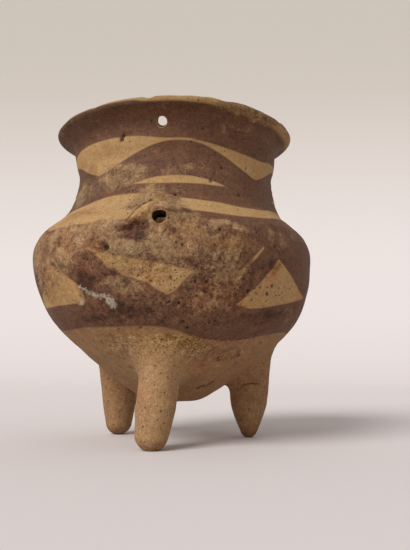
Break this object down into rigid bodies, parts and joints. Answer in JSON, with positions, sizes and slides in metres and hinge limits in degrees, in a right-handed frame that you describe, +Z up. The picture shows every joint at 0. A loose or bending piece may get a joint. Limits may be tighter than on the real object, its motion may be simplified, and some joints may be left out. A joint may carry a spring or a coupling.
{
  "type": "tripod vase",
  "caption": "Hand-built earthenware vase with a round belly, concave neck and flaring rim on solid conical legs, pierced at rim and shoulder.",
  "frame": {"origin": "on the floor below the vessel's axis, in the middle of its width and depth", "axes": "+Z up along the vessel's axis, -Y towards the side with the drilled rim hole and the pierced boss, +X to that side's right"},
  "size_m": [0.1422, 0.1442, 0.1562],
  "materials": {
    "bare_clay": "matte",
    "painted_slip": "matte",
    "buff_slip": "matte"
  },
  "bodies": {
    "root": {"base_bowl": "bare_clay", "lower_wall_coil": "bare_clay", "belly_coil": "painted_slip", "shoulder_coil": "painted_slip", "neck_base_coil": "buff_slip", "neck_coil": "painted_slip", "rim_coil": "painted_slip", "lip_coil": "buff_slip", "shoulder_lug": "painted_slip", "front_leg": "bare_clay", "front_leg_collar": "bare_clay", "right_leg": "bare_clay", "right_leg_collar": "bare_clay", "left_leg": "bare_clay", "left_leg_collar": "bare_clay"}
  },
  "joints": []
}
